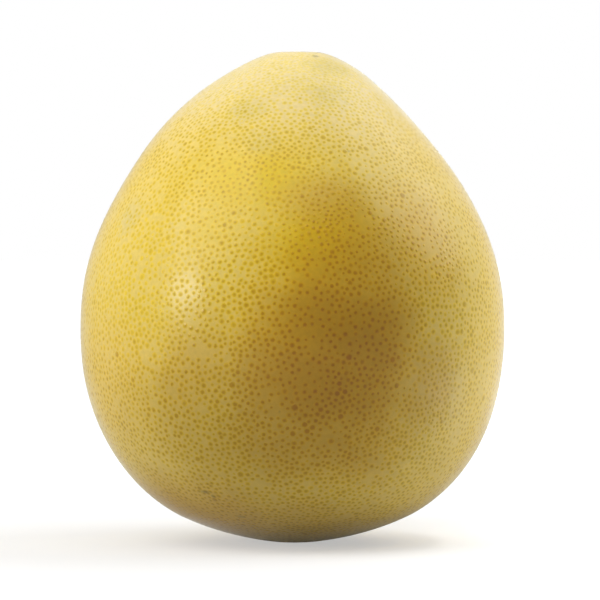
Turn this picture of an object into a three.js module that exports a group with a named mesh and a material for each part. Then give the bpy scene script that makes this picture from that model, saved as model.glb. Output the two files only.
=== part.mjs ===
// A pomelo: one whole pear-shaped citrus fruit, standing on the small flat of its blossom end.
// Millimetres, +Z up. The origin is the centre of the flat that the fruit rests on, below the stem.
import * as THREE from 'three';

// Driving dimensions
const HEIGHT = 173.4; // resting flat to the rim of the stem basin
const BELLY_RADIUS = 75.2; // mean radius where the fruit is widest
const BELLY_HEIGHT = 75;
const FOOT_RADIUS = 8; // the flat that it rests on

// Where the outline turns from one curve to the next, as [radius, height]
const HIP = [42, 10];
const SHOULDER = [54, 136];
const RIM_RADIUS = 7; // crest of the ring around the stem basin

// The stem end: a shallow basin with the button of the calyx in it
const BASIN_DEPTH = 2.4;
const BUTTON_RADIUS = 3.6;
const BUTTON_HEIGHT = 1.2;
const SCAR_RADIUS = 1.6; // where the stalk broke away
const SCAR_DEPTH = 0.5;

// How the grown shape leaves a true solid of revolution
const BELLY_BULGE = 0.75; // towards -X, over most of the height
const SHOULDER_BULGE = 0.8; // towards -X as well, around the shoulder only
const STEM_LEAN = 1; // the stem end leans the other way, towards +X
const TWO_LOBES = 0.6;
const THREE_LOBES = 0.4;
const FURROW_DEPTH = 0.45; // furrows that run down from the stem

// Mesh resolution
const SEGMENTS_AROUND = 64;
const STEPS_PER_CURVE = 10;

const { smoothstep } = THREE.MathUtils;
const point = (radius, height) => new THREE.Vector2(radius, height);

// Half of the outline, from the centre of the foot up over the belly and the rim to the middle of the basin.
function outlinePoints() {
  const base = new THREE.CubicBezierCurve(
    point(FOOT_RADIUS, 0), point(19.7, 1.5), point(31.6, 4.7), point(...HIP));
  const belly = new THREE.CubicBezierCurve(
    point(...HIP), point(49, 13.8), point(BELLY_RADIUS, 30), point(BELLY_RADIUS, BELLY_HEIGHT));
  const flank = new THREE.CubicBezierCurve(
    point(BELLY_RADIUS, BELLY_HEIGHT), point(BELLY_RADIUS, 90), point(73.6, 108.4), point(...SHOULDER));
  const crown = new THREE.CubicBezierCurve(
    point(...SHOULDER), point(34.7, 163.1), point(13, HEIGHT), point(RIM_RADIUS, HEIGHT));

  const basinFloor = HEIGHT - BASIN_DEPTH;
  const buttonTop = basinFloor + BUTTON_HEIGHT;
  const stemEnd = [
    point(BUTTON_RADIUS + 2.6, HEIGHT - 0.4 * BASIN_DEPTH),
    point(BUTTON_RADIUS + 1, basinFloor),
    point(BUTTON_RADIUS, basinFloor),
    point(BUTTON_RADIUS - 0.6, buttonTop),
    point(SCAR_RADIUS, buttonTop),
    point(0, buttonTop - SCAR_DEPTH),
  ];

  const curves = [base, belly, flank, crown];
  const rising = curves.flatMap((curve, i) => curve.getPoints(STEPS_PER_CURVE).slice(i === 0 ? 0 : 1));
  return [point(0, 0), ...rising, ...stemEnd];
}

// Where the middle of the section at a height lies along X.
function sectionCentre(height) {
  const belly = smoothstep(height, 20, 65) * (1 - smoothstep(height, 148, HEIGHT));
  const shoulder = Math.exp(-(((height - 146) / 14) ** 2)) * (1 - smoothstep(height, 160, HEIGHT));
  const stem = smoothstep(height, 158, HEIGHT - BASIN_DEPTH);
  return STEM_LEAN * stem - BELLY_BULGE * belly - SHOULDER_BULGE * shoulder;
}

// Broad lobes in the section, fading out towards the foot and the stem.
function lobes(angle, height) {
  const body = smoothstep(height, 0, 40) * (1 - smoothstep(height, 130, HEIGHT));
  return body * (TWO_LOBES * Math.sin(2 * angle) + THREE_LOBES * Math.sin(3 * angle));
}

// Uneven furrows down the neck, deepest a little below the rim.
function furrows(angle, height) {
  const neck = smoothstep(height, 138, 164) * (1 - smoothstep(height, 168, HEIGHT));
  return FURROW_DEPTH * neck * (0.6 * Math.cos(5 * angle + 0.6) + 0.4 * Math.cos(8 * angle + 2.1));
}

// The outline turned about +Z, then pushed into the uneven shape of a grown fruit.
function fruitGeometry() {
  const geometry = new THREE.LatheGeometry(outlinePoints(), SEGMENTS_AROUND);
  geometry.rotateX(Math.PI / 2);
  const vertices = geometry.getAttribute('position');
  for (let i = 0; i < vertices.count; i += 1) {
    const radius = Math.hypot(vertices.getX(i), vertices.getY(i));
    const angle = Math.atan2(vertices.getY(i), vertices.getX(i));
    const height = vertices.getZ(i);
    const grown = radius + lobes(angle, height) - furrows(angle, height);
    vertices.setX(i, grown * Math.cos(angle) + sectionCentre(height));
    vertices.setY(i, grown * Math.sin(angle));
  }
  geometry.computeVertexNormals();
  return geometry;
}

const rind = new THREE.MeshStandardMaterial({ color: 0xdcc158, roughness: 0.42, metalness: 0 });

const pomelo = new THREE.Mesh(fruitGeometry(), rind);
pomelo.name = 'pomelo';

const fruit = new THREE.Group();
fruit.add(pomelo);

export default fruit;
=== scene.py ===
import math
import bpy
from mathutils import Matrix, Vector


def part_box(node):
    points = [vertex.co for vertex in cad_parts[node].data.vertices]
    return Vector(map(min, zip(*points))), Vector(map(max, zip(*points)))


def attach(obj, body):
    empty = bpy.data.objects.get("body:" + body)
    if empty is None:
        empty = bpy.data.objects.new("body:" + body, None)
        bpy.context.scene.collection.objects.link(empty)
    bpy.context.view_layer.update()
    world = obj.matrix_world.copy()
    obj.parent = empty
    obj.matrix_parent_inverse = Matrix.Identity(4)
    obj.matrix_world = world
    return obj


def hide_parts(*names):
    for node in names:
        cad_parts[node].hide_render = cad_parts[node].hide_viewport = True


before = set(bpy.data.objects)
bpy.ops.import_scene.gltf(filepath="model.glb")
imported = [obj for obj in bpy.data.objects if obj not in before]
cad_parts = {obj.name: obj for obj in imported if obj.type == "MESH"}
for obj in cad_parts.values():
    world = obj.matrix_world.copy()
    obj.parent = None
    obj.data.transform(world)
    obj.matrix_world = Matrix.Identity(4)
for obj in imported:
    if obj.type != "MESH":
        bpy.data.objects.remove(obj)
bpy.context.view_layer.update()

# A whole pomelo on a pale studio floor, its rind laid out oil gland by oil gland.

from types import SimpleNamespace

import bpy
import numpy as np
from mathutils import Vector, geometry

# ----------------------------------------------------------------------------------------
# Driving sizes. The drawing is in millimetres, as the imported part's is, and MM turns it into the frame's
# metres.

MM = 0.001
node_low, node_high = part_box("pomelo")
HEIGHT = (node_high.z - node_low.z) / MM
BELLY_RADIUS = (node_high.x - node_low.x) / 2 / MM
BELLY_HEIGHT = 75
FOOT_RADIUS = 8
HIP = (42, 10)
SHOULDER = (54, 136)
RIM_RADIUS = 7

BASIN_DEPTH = 2.4
BASIN_FLOOR_RADIUS = 4.8
BUTTON_RADIUS = 3.6
BUTTON_HEIGHT = 1.2
SCAR_RADIUS = 1.6
SCAR_DEPTH = 0.5
BLOSSOM_RADIUS = 2.6
BLOSSOM_DEPTH = 0.35

BELLY_BULGE = 0.75
SHOULDER_BULGE = 0.8
STEM_LEAN = 1
TWO_LOBES = 0.6
THREE_LOBES = 0.4
FURROW_DEPTH = 0.45

# Oil glands
GLAND_SPACING = 2.3  # the side of the square that one gland has to itself
NECK_SPACING = 1.55  # they crowd together towards the stem
FOOT_SPACING = 2.1
BUTTON_SPACING = 0.5  # the mesh is finest on the button of the calyx
BLOSSOM_SPACING = 0.7
GLAND_RADIUS = 0.66
GLAND_SPREAD = 0.09
FAINT_SHARE = 0.05  # of all the glands
LARGE_SHARE = 0.015
GLAND_RELIEF = 0.03
SKIN_ROOM = 0.06  # how far the rind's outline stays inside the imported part's
SPACING_ROUNDS = 6  # how often the seeds are pushed apart
EVEN_GAP = 1.07  # evenly spread seeds stand this many sides of such a square apart

# Height of the relief that the mesh is too coarse for
DOME_BUMP = 0.075
PORE_BUMP = 0.004
WAVE_BUMP = 0.05

random = np.random.default_rng(20)


def smoothstep(value, low, high):
    share = np.clip((value - low) / (high - low), 0, 1)
    return share * share * (3 - 2 * share)


# ----------------------------------------------------------------------------------------
# The shape: an outline turned about +Z, then pushed into the uneven shape of a grown fruit.


def bezier(start, leaving, arriving, end, steps=400):
    start, leaving, arriving, end = map(np.array, (start, leaving, arriving, end))
    t = np.linspace(0, 1, steps, endpoint=False)[:, None]
    return (1 - t) ** 3 * start + 3 * (1 - t) ** 2 * t * leaving + 3 * (1 - t) * t**2 * arriving + t**3 * end


def straight(start, end, steps=100):
    return np.linspace(start, end, steps, endpoint=False)


def meridian():
    """The outline from the middle of the foot to the middle of the basin, with tables along its length."""
    floor = HEIGHT - BASIN_DEPTH
    points = np.vstack([
        straight((0, 0), (FOOT_RADIUS, 0)),
        bezier((FOOT_RADIUS, 0), (19.7, 1.5), (31.6, 4.7), HIP),
        bezier(HIP, (49, 13.8), (BELLY_RADIUS, 30), (BELLY_RADIUS, BELLY_HEIGHT)),
        bezier((BELLY_RADIUS, BELLY_HEIGHT), (BELLY_RADIUS, 90), (73.6, 108.4), SHOULDER),
        bezier(SHOULDER, (34.7, 163.1), (13, HEIGHT), (RIM_RADIUS, HEIGHT)),
        bezier((RIM_RADIUS, HEIGHT), (5.9, HEIGHT), (5.9, floor), (BASIN_FLOOR_RADIUS, floor), steps=100),
        straight((BASIN_FLOOR_RADIUS, floor), (0, floor)),
        [(0, floor)],
    ])
    radius, height = points.T
    piece = np.hypot(np.diff(radius), np.diff(height))
    mean_radius = np.maximum((radius[1:] + radius[:-1]) / 2, 1e-3)
    along = np.r_[0, np.cumsum(piece)]
    area = np.r_[0, np.cumsum(2 * math.pi * mean_radius * piece)]
    turn = np.r_[0, np.cumsum(piece / mean_radius)]
    widest = np.argmax(radius)
    return SimpleNamespace(
        along=along,
        radius=radius,
        height=height,
        area=area / area[-1],
        turn=turn - turn[widest],  # the height on a map of the rind that keeps angles, as Mercator's does
        outward=np.gradient(height, along),
        upward=-np.gradient(radius, along),
        widest=along[widest],
    )


LINE = meridian()


def on_line(name, along):
    return np.interp(along, LINE.along, getattr(LINE, name))


def section_centre(height):
    """Where the middle of the section at a height lies along X."""
    belly = smoothstep(height, 20, 65) * (1 - smoothstep(height, 148, HEIGHT))
    shoulder = np.exp(-(((height - 146) / 14) ** 2)) * (1 - smoothstep(height, 160, HEIGHT))
    stem = smoothstep(height, 158, HEIGHT - BASIN_DEPTH)
    return STEM_LEAN * stem - BELLY_BULGE * belly - SHOULDER_BULGE * shoulder


def lobes(angle, height):
    body = smoothstep(height, 0, 40) * (1 - smoothstep(height, 130, HEIGHT))
    return body * (TWO_LOBES * np.sin(2 * angle) + THREE_LOBES * np.sin(3 * angle))


def furrows(angle, height):
    neck = smoothstep(height, 138, 164) * (1 - smoothstep(height, 168, HEIGHT))
    return FURROW_DEPTH * neck * (0.6 * np.cos(5 * angle + 0.6) + 0.4 * np.cos(8 * angle + 2.1))


def button_edge(angle):
    """The five blunt lobes of the dried calyx."""
    return BUTTON_RADIUS * (1 + 0.13 * np.cos(5 * angle + 0.4) + 0.05 * np.cos(3 * angle))


def stem_end(radius, angle):
    """Height of the calyx button, and of the scar in it, over the floor of the stem basin."""
    edge = button_edge(angle)
    button = BUTTON_HEIGHT * (1 - smoothstep(radius, edge - 0.7, edge + 0.3))
    ribs = 0.12 * np.cos(15 * angle) * smoothstep(radius, SCAR_RADIUS, edge - 0.5) * (radius < edge)
    scar = SCAR_DEPTH * (1 - smoothstep(radius, SCAR_RADIUS - 0.5, SCAR_RADIUS + 0.2))
    return button + ribs - scar


def rind_points(along, angle, lift=0.0):
    """Points of the rind in millimetres, each raised by lift along the outline's normal."""
    height = on_line("height", along)
    radius = on_line("radius", along)
    near_stem = along > LINE.widest
    near_axis = radius < BASIN_FLOOR_RADIUS + 1
    rise = np.where(near_stem & near_axis, stem_end(radius, angle), 0)
    dimple = np.where(~near_stem, BLOSSOM_DEPTH * (1 - smoothstep(radius, 1, BLOSSOM_RADIUS)), 0)
    grown = radius + lobes(angle, height) - furrows(angle, height) + lift * on_line("outward", along)
    x = grown * np.cos(angle) + section_centre(height)
    y = grown * np.sin(angle)
    z = height + rise + dimple + lift * on_line("upward", along)
    return np.stack([x, y, z], axis=1)


# ----------------------------------------------------------------------------------------
# The mesh: one cell of the rind around each oil gland.


def spacing(along):
    """The side of the square that each seed of the mesh has to itself."""
    radius = on_line("radius", along)
    stem = np.interp(
        radius,
        [BUTTON_RADIUS + 1, RIM_RADIUS, 16, SHOULDER[0], 72],
        [BUTTON_SPACING, 1.1, NECK_SPACING, 2.1, GLAND_SPACING],
    )
    blossom = np.interp(
        radius,
        [BLOSSOM_RADIUS, 6, 40, 72],
        [BLOSSOM_SPACING, FOOT_SPACING, FOOT_SPACING, GLAND_SPACING],
    )
    return np.where(along > LINE.widest, stem, blossom)


def scattered_seeds():
    """Seeds at random, as many to each stretch of the outline as the spacing there asks for."""
    along = np.linspace(0, LINE.along[-1], 4000)
    wanted = 2 * math.pi * on_line("radius", along) / spacing(along) ** 2
    count = np.r_[0, np.cumsum((wanted[1:] + wanted[:-1]) / 2 * np.diff(along))]
    number = int(count[-1])
    return (
        np.interp(random.uniform(0, count[-1], number), count, along),
        random.uniform(-math.pi, math.pi, number),
    )


def map_plane(along, angle):
    """The seeds on a flat map that keeps angles: the stem in the middle and the foot far out all round."""
    return np.exp(-on_line("turn", along))[:, None] * np.stack([np.cos(angle), np.sin(angle)], axis=1)


def triangles_between(along, angle):
    plane = map_plane(along, angle)
    triangles = geometry.delaunay_2d_cdt([Vector(p) for p in plane], [], [], 0, 1e-9)[2]
    return np.array(triangles)


def spread_apart(along, angle):
    """One round of pushing neighbours that stand too close away from each other."""
    triangles = triangles_between(along, angle)
    edges = np.vstack([triangles[:, [0, 1]], triangles[:, [1, 2]], triangles[:, [2, 0]]])
    radius = on_line("radius", along)
    points = np.stack([radius * np.cos(angle), radius * np.sin(angle), on_line("height", along)], axis=1)
    gap = points[edges[:, 1]] - points[edges[:, 0]]
    length = np.linalg.norm(gap, axis=1)
    wanted = EVEN_GAP * spacing(along)[edges].mean(axis=1)
    push = (0.25 * np.maximum(wanted - length, 0) / length)[:, None] * gap
    move = np.zeros_like(points)
    np.add.at(move, edges[:, 0], -push)
    np.add.at(move, edges[:, 1], push)
    round_axis = move[:, 1] * np.cos(angle) - move[:, 0] * np.sin(angle)
    from_axis = move[:, 0] * np.cos(angle) + move[:, 1] * np.sin(angle)
    up_line = move[:, 2] * on_line("outward", along) - from_axis * on_line("upward", along)
    ends = 0.4 * BLOSSOM_SPACING
    along = np.clip(along + up_line, ends, LINE.along[-1] - ends / 2)
    return along, angle + round_axis / np.maximum(radius, ends)


def seeds():
    along, angle = scattered_seeds()
    for _ in range(SPACING_ROUNDS):
        along, angle = spread_apart(along, angle)
    clear = along > 2 * BLOSSOM_SPACING
    ring = np.arange(6) * math.pi / 3
    return np.r_[along[clear], np.full(6, BLOSSOM_SPACING)], np.r_[angle[clear], ring]


def circle_centres(plane, triangles):
    """The middle of the circle through each triangle's corners."""
    first = plane[triangles[:, 0]]
    b = plane[triangles[:, 1]] - first
    c = plane[triangles[:, 2]] - first
    twice_area = 2 * (b[:, 0] * c[:, 1] - b[:, 1] * c[:, 0])
    b_square = (b**2).sum(axis=1)
    c_square = (c**2).sum(axis=1)
    x = (c[:, 1] * b_square - b[:, 1] * c_square) / twice_area
    y = (b[:, 0] * c_square - c[:, 0] * b_square) / twice_area
    return first + np.stack([x, y], axis=1)


def cells(along, angle):
    """Cuts the rind into a cell for each seed: where the corners lie, and the cells as fans of triangles."""
    plane = map_plane(along, angle)
    triangles = triangles_between(along, angle)
    centres = circle_centres(plane, triangles)
    turn = -np.log(np.hypot(centres[:, 0], centres[:, 1]))
    corner_along = np.interp(turn, LINE.turn, LINE.along)
    corner_angle = np.arctan2(centres[:, 1], centres[:, 0])

    seeds_here, corners_here = len(along), len(centres)
    start = triangles.ravel()
    end = np.roll(triangles, -1, axis=1).ravel()
    own_corner = seeds_here + np.repeat(np.arange(corners_here), 3)
    order = np.argsort(start * seeds_here + end)
    keys = (start * seeds_here + end)[order]
    wanted = end * seeds_here + start
    found = np.minimum(np.searchsorted(keys, wanted), len(keys) - 1)
    foot = seeds_here + corners_here  # the middle of the foot closes the ring of outermost cells
    outermost = keys[found] != wanted
    other_corner = np.where(outermost, foot, own_corner[order[found]])
    fans = np.stack([start, other_corner, own_corner], axis=1)
    closing = np.stack([end, own_corner, other_corner], axis=1)[outermost]
    return np.r_[corner_along, 0.0], np.r_[corner_angle, 0.0], np.vstack([fans, closing])


# ----------------------------------------------------------------------------------------
# What each gland looks like, and the marks on this fruit.


# Glands that stand out, large and dark: azimuth and height.
DARK_GLANDS = [
    (3.3, 44.3), (5, 44.5), (3, 42.5),
    (12.4, 60), (12.3, 55.5), (14, 57.5),
    (24, 116), (21, 138),
    (-8, 14), (-34, 22),
]


def gland_sizes(along, angle):
    """A radius in millimetres for each seed's gland, 0 where the seed holds none, and how dark it is."""
    number = len(along)
    size = np.clip(random.normal(GLAND_RADIUS, GLAND_SPREAD, number), 0.4, 0.95)
    tone = np.clip(random.normal(1, 0.14, number), 0.6, 1.4)
    chance = random.uniform(0, 1, number)
    faint = chance < FAINT_SHARE
    large = chance > 1 - LARGE_SHARE
    size = np.where(faint, 0.6 * size, size)
    tone = np.where(faint, 0.5 * tone, tone)
    size = np.where(large, 1.45 * size, size)
    tone = np.where(large, 1.25 * tone, tone)
    for azimuth, height in DARK_GLANDS:
        turn = np.abs(np.angle(np.exp(1j * (angle - math.radians(azimuth - 90)))))
        nearest = np.argmin(np.hypot(on_line("radius", along) * turn, on_line("height", along) - height))
        size[nearest] = 0.9
        tone[nearest] = 1.45
    room = np.minimum(spacing(along) / GLAND_SPACING, 1)
    radius = on_line("radius", along)
    bare = np.where(along > LINE.widest, radius < BUTTON_RADIUS + 1, radius < BLOSSOM_RADIUS)
    return np.where(bare, 0, size * room), tone


def cell_patches(along, angle):
    """Which of six equal squares of the rind each cell is drawn on."""
    sides = [(1, 0, 0), (0, 1, 0), (-1, 0, 0), (0, -1, 0), (0, 0, 1), (0, 0, -1)]
    return np.argmax(ball_directions(along, angle) @ np.array(sides).T, axis=1)


def ball_directions(along, angle):
    """The rind spread over a ball so that equal areas stay equal."""
    up = 2 * on_line("area", along) - 1
    level = np.sqrt(np.maximum(1 - up**2, 0))
    return np.stack([level * np.cos(angle), level * np.sin(angle), up], axis=1)


def map_corners(along, angle, fans):
    """A map of the rind in six squares, three across and two up, with every cell whole on one of them."""
    right = np.array([(0, 1, 0), (-1, 0, 0), (0, -1, 0), (1, 0, 0), (0, 1, 0), (0, 1, 0)])
    up = np.array([(0, 0, 1)] * 4 + [(-1, 0, 0), (1, 0, 0)])
    ahead = np.cross(right, up)
    patch = cell_patches(along, angle)[fans[:, 0]]
    towards = ball_directions(along, angle)[fans]
    depth = (towards * ahead[patch][:, None]).sum(axis=2)
    across = np.arctan2((towards * right[patch][:, None]).sum(axis=2), depth)
    upward = np.arctan2((towards * up[patch][:, None]).sum(axis=2), depth)
    half = math.radians(49)
    u = (patch[:, None] % 3 + 0.5 + across / half / 2) / 3
    v = (patch[:, None] // 3 + 0.5 + upward / half / 2) / 2
    return np.stack([u, v], axis=2)


# ----------------------------------------------------------------------------------------
# The rind as a Blender object.


def set_attribute(mesh, name, kind, domain, values):
    attribute = mesh.attributes.new(name, kind, domain)
    field = "vector" if kind == "FLOAT_VECTOR" else "value"
    attribute.data.foreach_set(field, np.ascontiguousarray(values, dtype=np.float32).ravel())


def make_rind():
    seed_along, seed_angle = seeds()
    size, tone = gland_sizes(seed_along, seed_angle)
    corner_along, corner_angle, fans = cells(seed_along, seed_angle)
    along = np.r_[seed_along, corner_along]
    angle = np.r_[seed_angle, corner_angle]
    relief = np.r_[GLAND_RELIEF * size / GLAND_RADIUS, np.zeros(len(corner_along))]
    points = rind_points(along, angle, relief - GLAND_RELIEF - SKIN_ROOM)
    points[:, 2] = np.maximum(points[:, 2], 0)

    mesh = bpy.data.meshes.new("pomelo_rind")
    mesh.from_pydata((points * MM).tolist(), [], fans.tolist())
    mesh.shade_smooth()

    owner = fans[:, 0]
    set_attribute(mesh, "gland_centre", "FLOAT_VECTOR", "FACE", points[owner] * MM)
    set_attribute(mesh, "gland_size", "FLOAT", "FACE", size[owner] * MM)
    set_attribute(mesh, "gland_tone", "FLOAT", "FACE", tone[owner])
    radius = on_line("radius", along)
    on_top = along > LINE.widest
    calyx = on_top * (1 - smoothstep(radius, button_edge(angle) - 0.2, button_edge(angle) + 0.4))
    scar = on_top * (1 - smoothstep(radius, SCAR_RADIUS - 0.3, SCAR_RADIUS + 0.3))
    blossom = ~on_top * (1 - smoothstep(radius, BLOSSOM_RADIUS - 1.4, BLOSSOM_RADIUS))
    set_attribute(mesh, "calyx", "FLOAT", "POINT", calyx)
    set_attribute(mesh, "scar", "FLOAT", "POINT", scar + blossom)

    layer = mesh.uv_layers.new(name="OFBake")
    layer.uv.foreach_set("vector", map_corners(along, angle, fans).astype(np.float32).ravel())
    mesh.validate()
    rind = bpy.data.objects.new("pomelo_rind", mesh)
    bpy.context.scene.collection.objects.link(rind)
    return rind


# ----------------------------------------------------------------------------------------
# Materials


class Nodes:
    """Short calls for wiring up the shader nodes of one material or world."""

    def __init__(self, owner):
        owner.use_nodes = True
        self.tree = owner.node_tree
        self.tree.nodes.clear()

    def add(self, kind, inputs=(), **settings):
        """A new node. Each input is a number, a colour or another node's output, by its name or its place."""
        node = self.tree.nodes.new(kind)
        for name, value in settings.items():
            setattr(node, name, value)
        for key, value in dict(inputs).items():
            if isinstance(value, bpy.types.NodeSocket):
                self.tree.links.new(value, node.inputs[key])
            else:
                node.inputs[key].default_value = value
        return node

    def attribute(self, name, output="Fac"):
        return self.add("ShaderNodeAttribute", attribute_name=name).outputs[output]

    def maths(self, operation, *values):
        return self.add("ShaderNodeMath", enumerate(values), operation=operation).outputs[0]

    def vectors(self, operation, *values, output=0, scale=None):
        inputs = dict(enumerate(values))
        if scale is not None:
            inputs["Scale"] = scale
        return self.add("ShaderNodeVectorMath", inputs, operation=operation).outputs[output]

    def ramp(self, value, low, high, at_low=0.0, at_high=1.0):
        """A smooth step from at_low to at_high as the value goes from low to high."""
        inputs = {"Value": value, 1: low, 2: high, 3: at_low, 4: at_high}
        return self.add("ShaderNodeMapRange", inputs, interpolation_type="SMOOTHSTEP").outputs[0]

    def blend(self, share, first, second, blend_type="MIX"):
        inputs = {0: share, 6: first, 7: second}
        return self.add("ShaderNodeMix", inputs, data_type="RGBA", blend_type=blend_type).outputs[2]

    def noise(self, where, size, detail=2.0, roughness=0.5):
        """Noise from 0 to 1 whose lumps are about this many millimetres across."""
        inputs = {"Vector": where, "Scale": 1 / (size * MM), "Detail": detail, "Roughness": roughness}
        return self.add("ShaderNodeTexNoise", inputs).outputs[0]

    def background_seen(self):
        """1 for the rays that show the white background: straight, mirrored or through glass."""
        path = self.add("ShaderNodeLightPath").outputs
        seen = self.maths("MAXIMUM", path["Is Camera Ray"], path["Is Glossy Ray"])
        return self.maths("MAXIMUM", seen, path["Is Transmission Ray"])


def rgb(red, green, blue):
    return (red, green, blue, 1.0)


LEMON = rgb(0.84, 0.61, 0.085)
GOLD = rgb(0.80, 0.55, 0.003)
OCHRE = rgb(0.74, 0.42, 0.006)
BROWN_AND_SHADE = rgb(0.48, 0.247, 0.004)
OLIVE = rgb(0.56, 0.37, 0.04)
# Painted light: the paler colour of the top towards the stem.
TOP_LIGHT_CREAM = rgb(0.84, 0.67, 0.24)
SCUFFED = rgb(0.23, 0.17, 0.035)
DULL = rgb(0.68, 0.54, 0.14)
DRY_CALYX = rgb(0.16, 0.12, 0.045)
DRY_WOOD = rgb(0.34, 0.24, 0.12)

# Each is multiplied with the ground's colour.
UNTINTED = rgb(1.0, 1.0, 1.0)
BETWEEN_GLANDS = rgb(1.0, 1.02, 1.6)
ROUND_GLANDS = rgb(1.03, 1.0, 0.45)
ON_YELLOW_GLANDS = rgb(0.72, 0.62, 0.10)
ON_OCHRE_GLANDS = rgb(0.72, 0.53, 0.12)

# Marks on the rind: azimuth and height of the middle, half the width, half the height, and strength.
# Azimuth 0 is the side that faces -Y, and 90 is the side that faces +X.
GOLD_PATCHES = [
    (-16, 130, 42, 28, 1.0),
    (6, 108, 30, 28, 1.0),
    (-22, 113, 22, 20, 0.6),
    (160, 110, 50, 40, 0.8),
]
# Ochre is partly the rind's own colour and partly painted shade: the large patch on the front and the one on
# the left side darken where the lamps fall least.
OCHRE_AND_SHADE_PATCHES = [
    (11, 68, 50, 74, 1.0),
    (-55, 60, 48, 34, 0.25),
    (38, 106, 28, 38, 0.5),
    (152, 95, 40, 50, 0.7),
    (-118, 50, 34, 40, 0.5),
    (-165, 130, 30, 30, 0.4),
]
# Brown is partly the rind's own colour and partly painted shade: it darkens the middle of the front, which
# faces away from the lamps, and the lowest band along the floor.
BROWN_AND_SHADE_PATCHES = [
    (6, 63, 40, 34, 0.9),
    (12, 76, 40, 30, 0.95),
    (4, 42, 40, 20, 0.4),
    (-4, 10, 64, 14, 0.3),
    (-25, 66, 22, 26, 0.4),
    (16, 97, 32, 34, 0.5),
    (12, 118, 24, 20, 0.4),
    (-50, 12, 46, 26, 0.65),
    (40, 60, 22, 30, 0.3),
    (-160, 80, 26, 30, 0.6),
]
OLIVE_PATCHES = [
    (-18, 42, 60, 40, 0.8),
    (-140, 90, 30, 40, 0.5),
    (125, 30, 40, 24, 0.5),
]
# Partly painted light: on the left shoulder and the upper front, where the lamps fall strongest, the glands
# are made fainter.
FAINT_GLANDS = [
    (-55, 98, 50, 60, 0.65),
    (-8, 118, 46, 36, 0.35),
    (175, 140, 50, 30, 0.4),
]
DULL_PATCHES = [
    (-58, 115, 10, 10, 0.45),
    (-24, 152, 10, 7, 0.45),
    (-13, 141, 11, 6, 0.35),
    (38, 168, 13, 8, 0.7),
    (22, 158, 12, 9, 0.5),
    (-170, 60, 14, 8, 0.5),
]
SCUFFS = [
    (-33, 21, 3.0, 1.1, 0.6),
    (-30.5, 19.5, 1.2, 2.4, 0.6),
    (-24, 12, 2.8, 0.8, 0.4),
    (-4, 50, 0.8, 0.8, 0.8),
    (21, 138, 1.4, 1.0, 0.9),
    (24, 116, 1.1, 1.1, 0.8),
    (32, 171.5, 2.0, 0.9, 0.6),
    (150, 70, 4.0, 1.4, 0.8),
    (-120, 110, 1.4, 3.0, 0.7),
]


def on_rind(azimuth, height):
    """The point of the rind, in metres, at an azimuth and a height in millimetres."""
    upward = LINE.height[: np.argmax(LINE.height)]
    radius = np.interp(height, upward, LINE.radius[: len(upward)])
    angle = math.radians(azimuth - 90)
    return (radius * math.cos(angle) * MM, radius * math.sin(angle) * MM, height * MM)


def patch(nodes, place, uneven, azimuth, height, half_width, half_height, strength):
    """A soft-edged patch, from its strength in the middle to 0 at its uneven edge."""
    reach = (half_width * MM, half_width * MM, half_height * MM)
    gap = nodes.vectors("SUBTRACT", place, on_rind(azimuth, height))
    gap = nodes.vectors("DIVIDE", gap, reach)
    distance = nodes.maths("ADD", nodes.vectors("LENGTH", gap, output=1), uneven)
    return nodes.ramp(distance, 0.1, 1.0, strength, 0.0)


def patches(nodes, place, table, lump_size):
    """The strongest of several patches at each point. Their edges waver in lumps this many mm across."""
    uneven = nodes.maths("MULTIPLY_ADD", nodes.noise(place, lump_size, 3.0), 0.5, -0.25)
    shares = [patch(nodes, place, uneven, *row) for row in table]
    strongest = shares[0]
    for share in shares[1:]:
        strongest = nodes.maths("MAXIMUM", strongest, share)
    return strongest


def gland_masks(nodes, place):
    """Where the gland of this cell of the mesh is: its dark spot, the halo round it, and its dome."""
    noise = nodes.add("ShaderNodeTexNoise", {"Vector": place, "Scale": 1 / (0.9 * MM), "Detail": 1.0})
    waver = noise.outputs["Color"]
    shifted = nodes.vectors("MULTIPLY_ADD", waver, (0.5 * MM,) * 3, place)
    shifted = nodes.vectors("SUBTRACT", shifted, (0.25 * MM,) * 3)
    away = nodes.vectors("DISTANCE", shifted, nodes.attribute("gland_centre", "Vector"), output=1)
    size = nodes.maths("MAXIMUM", nodes.attribute("gland_size"), 1e-6)
    radii = nodes.maths("DIVIDE", away, size)
    spot = nodes.ramp(radii, 0.25, 1.35, 1.0, 0.0)
    halo = nodes.ramp(radii, 0.9, 1.8, 1.0, 0.0)
    dome = nodes.ramp(radii, 0.0, 1.3, 1.0, 0.0)
    return spot, halo, dome


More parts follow.
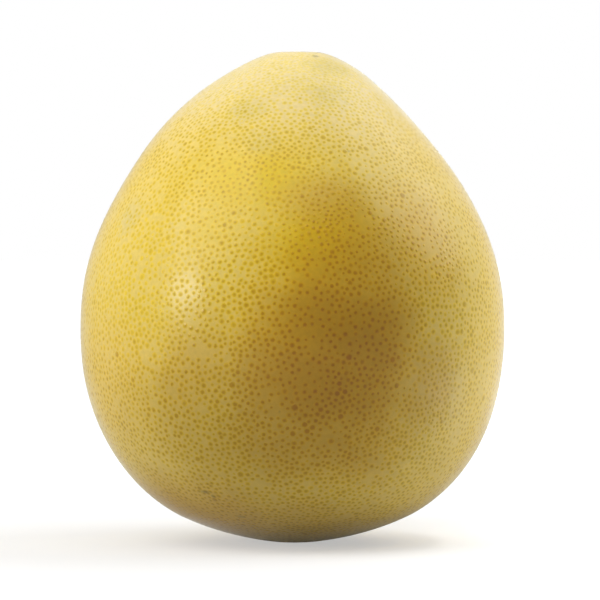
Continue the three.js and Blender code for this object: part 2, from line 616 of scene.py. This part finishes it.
def rind_colour(nodes, place, spot, halo):
    """Lemon yellow, ochre and olive in wide patches, paler between the glands and deeper round them. Brown
    and ochre on the front are partly painted shade, and the paler top is painted light.
    """
    ochre_and_shade = patches(nodes, place, OCHRE_AND_SHADE_PATCHES, 24)
    olive = patches(nodes, place, OLIVE_PATCHES, 24)
    height = nodes.add("ShaderNodeSeparateXYZ", {0: place}).outputs["Z"]
    # Painted light: towards the stem the rind turns paler cream, as if lit from above, and its glands lose
    # their tint and fade there.
    painted_top_light = nodes.ramp(height, 0.76 * HEIGHT * MM, 0.98 * HEIGHT * MM, 0.0, 1.0)
    ground = nodes.blend(patches(nodes, place, GOLD_PATCHES, 24), LEMON, GOLD)
    ground = nodes.blend(ochre_and_shade, ground, OCHRE)
    ground = nodes.blend(olive, ground, OLIVE)
    # Partly painted shade: the brown darkens the front and the foot.
    ground = nodes.blend(patches(nodes, place, BROWN_AND_SHADE_PATCHES, 24), ground, BROWN_AND_SHADE)
    ground = nodes.blend(painted_top_light, ground, TOP_LIGHT_CREAM)
    ground = nodes.blend(patches(nodes, place, DULL_PATCHES, 5), ground, DULL)

    depth = nodes.blend(halo, BETWEEN_GLANDS, ROUND_GLANDS)
    depth = nodes.blend(nodes.maths("MULTIPLY", painted_top_light, 0.5), depth, UNTINTED)
    faint = patches(nodes, place, FAINT_GLANDS, 24)
    faint = nodes.maths("MAXIMUM", faint, nodes.maths("MULTIPLY", painted_top_light, 0.9))
    strength = nodes.maths("SUBTRACT", nodes.attribute("gland_tone"), faint)
    strength = nodes.maths("MULTIPLY", strength, spot)
    depth = nodes.blend(strength, depth, nodes.blend(ochre_and_shade, ON_YELLOW_GLANDS, ON_OCHRE_GLANDS))
    mottle = nodes.ramp(nodes.noise(place, 1.4, 4.0, 0.6), 0.25, 0.75, 0.93, 1.05)
    colour = nodes.blend(1.0, ground, depth, "MULTIPLY")
    colour = nodes.vectors("SCALE", colour, scale=mottle)
    return nodes.blend(patches(nodes, place, SCUFFS, 1.2), colour, SCUFFED)


def rind_material():
    material = bpy.data.materials.new("rind")
    nodes = Nodes(material)
    place = nodes.add("ShaderNodeTexCoord").outputs["Object"]
    spot, halo, dome = gland_masks(nodes, place)
    colour = rind_colour(nodes, place, spot, halo)

    # The stem end
    dry = nodes.blend(nodes.noise(place, 0.8, 3.0), DRY_CALYX, DRY_WOOD)
    colour = nodes.blend(nodes.attribute("calyx"), colour, dry)
    colour = nodes.blend(nodes.attribute("scar"), colour, DRY_WOOD)

    # Relief finer than the mesh
    pores = nodes.noise(place, 0.5, 3.0)
    waves = nodes.noise(place, 7, 2.0)
    relief = nodes.maths("MULTIPLY", dome, DOME_BUMP * MM)
    relief = nodes.maths("MULTIPLY_ADD", pores, PORE_BUMP * MM, relief)
    relief = nodes.maths("MULTIPLY_ADD", waves, WAVE_BUMP * MM, relief)
    bump = nodes.add("ShaderNodeBump", {"Height": relief, "Strength": 1.0, "Distance": 1.0})

    # The wax is glossy from the front and matt at a glancing angle.
    facing = nodes.add("ShaderNodeLayerWeight").outputs["Facing"]
    rough = nodes.ramp(nodes.noise(place, 12, 3.0), 0.3, 0.7, 0.18, 0.24)
    rough = nodes.maths("ADD", rough, nodes.ramp(facing, 0.3, 0.75, 0.0, 0.4))
    shader = nodes.add("ShaderNodeBsdfPrincipled", {
        "Base Color": colour,
        "Roughness": rough,
        "IOR": 1.34,
        "Sheen Weight": 1.0,
        "Sheen Roughness": 0.28,
        "Normal": bump.outputs[0],
    })
    nodes.add("ShaderNodeOutputMaterial", {"Surface": shader.outputs[0]})
    return material


# ----------------------------------------------------------------------------------------
# The studio


def make_floor():
    """Pale paper that glows white away from the fruit and less near it, so that the shadow stays."""
    mesh = bpy.data.meshes.new("floor")
    reach = 6.0
    corners = [(-reach, -reach, 0), (reach, -reach, 0), (reach, reach, 0), (-reach, reach, 0)]
    mesh.from_pydata(corners, [], [(0, 1, 2, 3)])
    floor = bpy.data.objects.new("floor", mesh)
    bpy.context.scene.collection.objects.link(floor)
    material = bpy.data.materials.new("floor_paper")
    nodes = Nodes(material)
    diffuse = nodes.add("ShaderNodeBsdfDiffuse", {"Color": rgb(0.55, 0.55, 0.55)})
    away = nodes.vectors("LENGTH", nodes.add("ShaderNodeTexCoord").outputs["Object"], output=1)
    white = nodes.ramp(away, 0.1, 0.6, 0.46, 1.0)
    shown = nodes.maths("MULTIPLY", nodes.background_seen(), white)
    glow = nodes.add("ShaderNodeEmission", {"Strength": shown})
    both = nodes.add("ShaderNodeAddShader", {0: diffuse.outputs[0], 1: glow.outputs[0]})
    nodes.add("ShaderNodeOutputMaterial", {"Surface": both.outputs[0]})
    mesh.materials.append(material)


def aim(thing, target):
    thing.rotation_mode = "QUATERNION"
    thing.rotation_quaternion = (thing.location - target).to_track_quat("Z", "Y")


def direction(azimuth, elevation):
    """A unit vector from the fruit: azimuth 0 is towards the camera, positive to its right, in degrees."""
    a, e = math.radians(azimuth), math.radians(elevation)
    return Vector((math.sin(a) * math.cos(e), -math.cos(a) * math.cos(e), math.sin(e)))


# Soft boxes round the fruit: azimuth, elevation, distance and width in metres, and irradiance on the fruit.
SOFT_BOXES = {
    "left_high": (-60, 45, 1.1, 0.9, 1.65),
    "left_front": (-60, 12, 1.1, 0.36, 0.73),
    "right_back": (105, 44, 0.6, 0.6, 1.95),
    "top": (0, 70, 0.8, 0.7, 0.92),
}


def make_lamp(name, location, target, width, irradiance, spread=180):
    """A round soft box that gives the target this irradiance, and that the camera doesn't see."""
    data = bpy.data.lights.new(name, "AREA")
    data.shape = "DISK"
    data.size = width
    data.spread = math.radians(spread)
    data.energy = irradiance * math.pi * (location - target).length_squared
    lamp = bpy.data.objects.new(name, data)
    lamp.location = location
    lamp.visible_camera = False
    aim(lamp, target)
    bpy.context.scene.collection.objects.link(lamp)


def make_lamps():
    middle = Vector((0, 0, HEIGHT / 2 * MM))
    for name, (azimuth, elevation, distance, width, irradiance) in SOFT_BOXES.items():
        make_lamp(name, middle + distance * direction(azimuth, elevation), middle, width, irradiance)
    beside = Vector((0.25, 0.03, 0))  # on the floor, to the right of the fruit
    make_lamp("floor_right", beside + Vector((0, 0, 0.35)), beside, 0.15, 1.1, spread=60)


def make_world():
    """A white backdrop behind the fruit, dark in front of it. The camera and mirrors see white all round."""
    world = bpy.data.worlds.new("studio")
    bpy.context.scene.world = world
    nodes = Nodes(world)
    ray = nodes.add("ShaderNodeTexCoord").outputs["Generated"]
    backward = nodes.add("ShaderNodeSeparateXYZ", {0: ray}).outputs["Y"]
    backdrop = nodes.ramp(backward, -0.05, 0.95)
    strength = nodes.maths("MAXIMUM", nodes.background_seen(), backdrop)
    light = nodes.add("ShaderNodeBackground", {"Color": rgb(1, 1, 1), "Strength": strength})
    nodes.add("ShaderNodeOutputWorld", {"Surface": light.outputs[0]})


def make_camera():
    """A long lens, level with the fruit and a little above the floor."""
    distance = 1.4
    elevation = 1.5
    width_in_view = 212.8 * MM
    target = Vector((1.9 * MM, 0, (HEIGHT / 2 - 1.1) * MM))
    data = bpy.data.cameras.new("camera")
    data.sensor_width = 36
    data.lens = data.sensor_width * distance / width_in_view
    data.clip_end = 100
    camera = bpy.data.objects.new("camera", data)
    camera.location = target + distance * direction(0, elevation)
    aim(camera, target)
    bpy.context.scene.collection.objects.link(camera)
    bpy.context.scene.camera = camera


def main():
    rind = make_rind()
    rind.data.materials.append(rind_material())
    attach(rind, "root")
    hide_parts("pomelo")
    make_floor()
    make_lamps()
    make_world()
    make_camera()
    bpy.context.scene.view_settings.view_transform = "Standard"


main()
